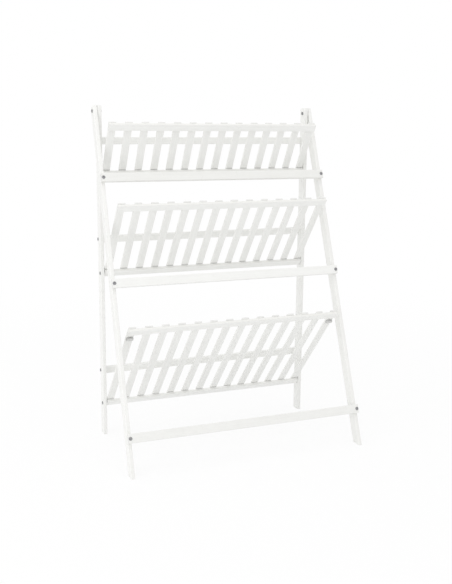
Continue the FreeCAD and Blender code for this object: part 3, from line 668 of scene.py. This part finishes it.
def pad_surface(half_wide, half_long, thick, edge, crown, square):
    """Points and faces of one moulded pad, seat at height 0 and face at the height of its thickness.

    The outline is a superellipse: each of cosine and sine of the angle, raised to 2 / square with its
    sign kept. The profile goes out along the seat, up the side, round a quarter circle of the edge's
    radius and in over the face, which sinks from its middle by crown times the square of the distance.
    Every ring is the outline, drawn in by the profile; one point closes each end.
    """
    around, rounds, steps = 72, 9, 8
    side_ring = 0.4
    angle = np.linspace(0, 2 * math.pi, around, endpoint=False)
    outline = np.stack([np.cos(angle), np.sin(angle)], 1)
    outline = np.sign(outline) * np.abs(outline) ** (2 / square)
    arc = np.linspace(0, math.pi / 2, rounds)
    inward = np.linspace(0, 1, steps, endpoint=False)[1:]
    rim = thick - crown
    inset = np.concatenate([np.zeros(steps + 1), edge * (1 - np.cos(arc)), np.full(steps - 1, edge)])
    share = np.concatenate([inward, np.ones(2 + rounds), inward[::-1]])
    height = np.concatenate([np.zeros(steps), [side_ring * rim], rim - edge + edge * np.sin(arc),
                             rim + crown * (1 - inward[::-1] ** 2)])
    wide = ((half_wide - inset) * share)[:, None] * outline[None, :, 0]
    long = ((half_long - inset) * share)[:, None] * outline[None, :, 1]
    tall = np.broadcast_to(height[:, None], wide.shape)
    rings = np.stack([wide, long, tall], -1).reshape(-1, 3)
    points = np.concatenate([rings, [[0, 0, 0], [0, 0, thick]]])
    grid = np.arange(len(rings)).reshape(len(height), around)
    after = np.roll(grid, -1, 1)
    quads = np.stack([grid[:-1], after[:-1], after[1:], grid[1:]], -1).reshape(-1, 4)
    seat = np.stack([after[0], grid[0], np.full(around, len(rings))], -1)
    face = np.stack([grid[-1], after[-1], np.full(around, len(rings) + 1)], -1)
    return points, quads, np.concatenate([seat, face])


class SHELF_OT_paint_uprights(Operator):
    """Paint the rear posts and the front legs"""
    bl_idname = "shelf.paint_uprights"
    bl_label = "Paint Posts and Legs"

    def execute(self, context):
        paint = context.scene.shelf_paint
        for number, side in enumerate(SIDES):
            step = UPRIGHT_STEP * number
            paint_bamboo(paint, side + "_rear_post", 0.0, UPRIGHT, POST_SEED + step, foot=True)
            paint_bamboo(paint, side + "_front_leg", leg_turn(), UPRIGHT, LEG_SEED + step, foot=True,
                         lean=leg_lean(side))
        return {"FINISHED"}


class SHELF_OT_paint_rails(Operator):
    """Paint the back rails and the front rails"""
    bl_idname = "shelf.paint_rails"
    bl_label = "Paint Rails"

    def execute(self, context):
        paint = context.scene.shelf_paint
        for number, level in enumerate(LEVELS):
            step = RAIL_STEP * number
            paint_bamboo(paint, level + "_back_rail", 0.0, CROSSWISE, BACK_RAIL_SEED + step)
            paint_bamboo(paint, level + "_front_rail", leg_turn(), CROSSWISE, FRONT_RAIL_SEED + step)
        return {"FINISHED"}


class SHELF_OT_paint_slats(Operator):
    """Paint the slats of the three shelves"""
    bl_idname = "shelf.paint_slats"
    bl_label = "Paint Slats"

    def execute(self, context):
        paint = context.scene.shelf_paint
        for number, shelf in enumerate(SHELVES):
            turn = shelf_turn(shelf)
            batten_heights = turned_points(shelf + "_shelf_rear_batten", turn)[:, 2]
            paint_bamboo(paint, shelf + "_shelf_slats", turn, SLATWISE, SLAT_SEED + SLAT_STEP * number,
                         rows=paint.slat_count, seam=batten_heights.max())
        return {"FINISHED"}


class SHELF_OT_paint_battens(Operator):
    """Paint the front and rear battens of the three shelves"""
    bl_idname = "shelf.paint_battens"
    bl_label = "Paint Battens"

    def execute(self, context):
        paint = context.scene.shelf_paint
        for number, shelf in enumerate(SHELVES):
            for spot, end in enumerate(("front", "rear")):
                seed = BATTEN_SEED + BATTEN_STEP * number + BATTEN_END_STEP * spot
                paint_bamboo(paint, "%s_shelf_%s_batten" % (shelf, end), shelf_turn(shelf), CROSSWISE,
                             seed, side_shade=BATTEN_SIDE_SHADE)
        return {"FINISHED"}


class SHELF_OT_plate_bolts(Operator):
    """Give the bolts and nuts their zinc plating"""
    bl_idname = "shelf.plate_bolts"
    bl_label = "Plate Bolts and Nuts"

    def execute(self, context):
        fittings = context.scene.shelf_fittings
        for level in LEVELS:
            plate_steel(fittings, level + "_back_rail_bolts")
            plate_steel(fittings, level + "_front_rail_bolts")
        for shelf in SHELVES:
            plate_steel(fittings, shelf + "_shelf_hinge_bolts")
        plate_steel(fittings, "pivot_bolts")
        plate_steel(fittings, "pivot_nuts")
        return {"FINISHED"}


class SHELF_OT_turn_inserts(Operator):
    """Give the threaded inserts their turned brass"""
    bl_idname = "shelf.turn_inserts"
    bl_label = "Turn Brass Inserts"

    def execute(self, context):
        fittings = context.scene.shelf_fittings
        for level in LEVELS:
            turn_brass(fittings, level + "_back_rail_inserts")
            turn_brass(fittings, level + "_front_rail_inserts")
        for shelf in SHELVES:
            turn_brass(fittings, shelf + "_shelf_hinge_inserts")
        return {"FINISHED"}


class SHELF_OT_mould_washers(Operator):
    """Give the washers and pivot spacers their nylon"""
    bl_idname = "shelf.mould_washers"
    bl_label = "Mould Washers and Spacers"

    def execute(self, context):
        fittings = context.scene.shelf_fittings
        for shelf in SHELVES:
            mould_nylon(fittings, shelf + "_shelf_washers")
        mould_nylon(fittings, "pivot_spacers")
        return {"FINISHED"}


class SHELF_OT_paint_brads(Operator):
    """Paint over the brads that hold the slats"""
    bl_idname = "shelf.paint_brads"
    bl_label = "Paint Brads"

    def execute(self, context):
        fittings = context.scene.shelf_fittings
        for shelf in SHELVES:
            paint_brads(fittings, shelf + "_shelf_brads")
        return {"FINISHED"}


class SHELF_OT_mould_pads(Operator):
    """Mould the rubber rest pads under the bottom shelf"""
    bl_idname = "shelf.mould_pads"
    bl_label = "Mould Rest Pads"

    def execute(self, context):
        fittings = context.scene.shelf_fittings
        node = "bottom_shelf_rest_pads"
        turn = shelf_turn("bottom")
        solid = turned_points(node, turn) / MILLIMETRES
        parts, quads, ends, count = [], [], [], 0
        for way in (-1, 1):
            own = solid[solid[:, 0] * way > 0]
            low, high = own.min(0), own.max(0)
            half = (high - low) / 2
            points, sides, caps = pad_surface(half[0], half[2], 2 * half[1], fittings.pad_edge,
                                              fittings.pad_crown, fittings.pad_square)
            # The seat lies on the slat at the pad's far face, and the pad grows away from it
            placed = np.stack([points[:, 0] + (low[0] + high[0]) / 2, high[1] - points[:, 2],
                               points[:, 1] + (low[2] + high[2]) / 2], 1)
            parts.append(placed)
            quads.append(sides + count)
            ends.append(caps + count)
            count += len(points)
        back = np.array(Matrix.Rotation(-turn, 3, "X"))
        places = np.concatenate(parts) @ back.T
        faces = np.concatenate(quads).tolist() + np.concatenate(ends).tolist()
        mesh = bpy.data.meshes.new("moulded_rest_pads")
        mesh.from_pydata(places.tolist(), [], faces)
        mesh.shade_smooth()
        pads = bpy.data.objects.new("moulded_rest_pads", mesh)
        context.scene.collection.objects.link(pads)
        mesh.materials.append(rubber_material(fittings, pads.name, turn))
        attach(pads, "bottom_shelf")
        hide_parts(node)
        return {"FINISHED"}


class SHELF_OT_set_stage(Operator):
    """Lay the floor, hang the light and stand the camera"""
    bl_idname = "shelf.set_stage"
    bl_label = "Set the Studio"

    def execute(self, context):
        stage = context.scene.shelf_stage
        context.scene.view_settings.view_transform = "Standard"
        self.lay_floor(context, stage)
        self.light_sky(context, stage)
        self.hang_light(context, "soft_key", stage.key_place, stage.key_size, stage.key_power)
        self.hang_light(context, "soft_fill", stage.fill_place, stage.fill_size, stage.fill_power)
        self.stand_camera(context, stage)
        return {"FINISHED"}

    def lay_floor(self, context, stage):
        """A level square of cells: both places run evenly from minus to plus half the side, height 0."""
        cells = 25
        across = np.linspace(-stage.floor_half, stage.floor_half, cells)
        x, y = np.meshgrid(across, across)
        points = np.stack([x, y, np.zeros_like(x)], -1).reshape(-1, 3)
        grid = np.arange(cells * cells).reshape(cells, cells)
        faces = np.stack([grid[:-1, :-1], grid[:-1, 1:], grid[1:, 1:], grid[1:, :-1]], -1).reshape(-1, 4)
        mesh = bpy.data.meshes.new("studio_floor")
        mesh.from_pydata(points.tolist(), [], faces.tolist())
        floor = bpy.data.objects.new("studio_floor", mesh)
        context.scene.collection.objects.link(floor)
        finish = Finish("studio_floor_paint")
        seen = self.seen_rays(finish)
        place = finish.node("ShaderNodeTexCoord").out("Object")
        away = finish.node("ShaderNodeVectorMath", {"operation": "LENGTH"}, {0: place}).out("Value")
        faded = finish.step(away, stage.floor_fade * FADE_START, stage.floor_fade)
        share = stage.floor_white + (1 - stage.floor_white) * faded
        matt = finish.node("ShaderNodeBsdfDiffuse", None, {"Color": stage.floor})
        white = finish.node("ShaderNodeEmission", None, {"Color": (1, 1, 1), "Strength": 1.0})
        shader = finish.node("ShaderNodeMixShader", None, {0: seen * share, 1: matt, 2: white})
        finish.node("ShaderNodeOutputMaterial", None, {"Surface": shader})
        mesh.materials.append(finish.owner)

    def light_sky(self, context, stage):
        """Even light from all round, which the camera and mirrors see as plain white."""
        world = bpy.data.worlds.new("studio_sky")
        context.scene.world = world
        finish = Finish("studio_sky", world)
        seen = self.seen_rays(finish)
        light = finish.node("ShaderNodeBackground", None, {"Color": (1, 1, 1), "Strength": stage.sky})
        white = finish.node("ShaderNodeBackground", None, {"Color": (1, 1, 1), "Strength": 1.0})
        shader = finish.node("ShaderNodeMixShader", None, {0: seen, 1: light, 2: white})
        finish.node("ShaderNodeOutputWorld", None, {"Surface": shader})

    def seen_rays(self, finish):
        """1 for rays from the camera, from mirrors and through glass, and 0 for the rest."""
        path = finish.node("ShaderNodeLightPath")
        return path.out("Is Camera Ray") | path.out("Is Glossy Ray") | path.out("Is Transmission Ray")

    def hang_light(self, context, name, place, size, power):
        """A large soft square of light, turned to the middle of the shelf."""
        lamp = bpy.data.lights.new(name, "AREA")
        lamp.shape = "SQUARE"
        lamp.size = size
        lamp.energy = power
        light = bpy.data.objects.new(name, lamp)
        context.scene.collection.objects.link(light)
        middle = (Vector(CAD_BOX[0]) + Vector(CAD_BOX[1])) / 2
        light.location = place
        light.rotation_euler = (middle - Vector(place)).to_track_quat("-Z", "Y").to_euler()

    def stand_camera(self, context, stage):
        """The camera's own axes from its heading, dip and roll."""
        heading, dip = stage.camera_heading, stage.camera_dip
        ahead = Vector((math.sin(heading) * math.cos(dip), math.cos(heading) * math.cos(dip),
                        -math.sin(dip)))
        right = Vector((math.cos(heading), -math.sin(heading), 0))
        upward = right.cross(ahead)
        roll = stage.camera_roll
        rolled_right = math.cos(roll) * right + math.sin(roll) * upward
        rolled_up = math.cos(roll) * upward - math.sin(roll) * right
        lens = bpy.data.cameras.new("photo_camera")
        lens.lens = stage.lens
        camera = bpy.data.objects.new("photo_camera", lens)
        context.scene.collection.objects.link(camera)
        turn = Matrix((rolled_right, rolled_up, -ahead)).transposed()
        camera.matrix_world = Matrix.Translation(stage.camera_place) @ turn.to_4x4()
        context.scene.camera = camera


class SHELF_PT_looks(Panel):
    """Lists the steps and the settings of the shelf's looks"""
    bl_label = "Folding Shelf"
    bl_idname = "SHELF_PT_looks"
    bl_space_type = "VIEW_3D"
    bl_region_type = "UI"
    bl_category = "Shelf"

    def draw(self, context):
        for operator in OPERATORS:
            self.layout.operator(operator.bl_idname)
        scene = context.scene
        for settings in (scene.shelf_paint, scene.shelf_fittings, scene.shelf_stage):
            for name in settings.__annotations__:
                self.layout.prop(settings, name)


GROUPS = (ShelfPaint, ShelfFittings, ShelfStage)
OPERATORS = (
    SHELF_OT_paint_uprights,
    SHELF_OT_paint_rails,
    SHELF_OT_paint_slats,
    SHELF_OT_paint_battens,
    SHELF_OT_plate_bolts,
    SHELF_OT_turn_inserts,
    SHELF_OT_mould_washers,
    SHELF_OT_paint_brads,
    SHELF_OT_mould_pads,
    SHELF_OT_set_stage,
)
CLASSES = (*GROUPS, *OPERATORS, SHELF_PT_looks)


def register():
    for made in CLASSES:
        bpy.utils.register_class(made)
    bpy.types.Scene.shelf_paint = PointerProperty(type=ShelfPaint)
    bpy.types.Scene.shelf_fittings = PointerProperty(type=ShelfFittings)
    bpy.types.Scene.shelf_stage = PointerProperty(type=ShelfStage)


def unregister():
    del bpy.types.Scene.shelf_stage
    del bpy.types.Scene.shelf_fittings
    del bpy.types.Scene.shelf_paint
    for made in reversed(CLASSES):
        bpy.utils.unregister_class(made)


def main():
    register()
    bpy.ops.shelf.paint_uprights()
    bpy.ops.shelf.paint_rails()
    bpy.ops.shelf.paint_slats()
    bpy.ops.shelf.paint_battens()
    bpy.ops.shelf.plate_bolts()
    bpy.ops.shelf.turn_inserts()
    bpy.ops.shelf.mould_washers()
    bpy.ops.shelf.paint_brads()
    bpy.ops.shelf.mould_pads()
    bpy.ops.shelf.set_stage()


if __name__ == "__main__":
    main()
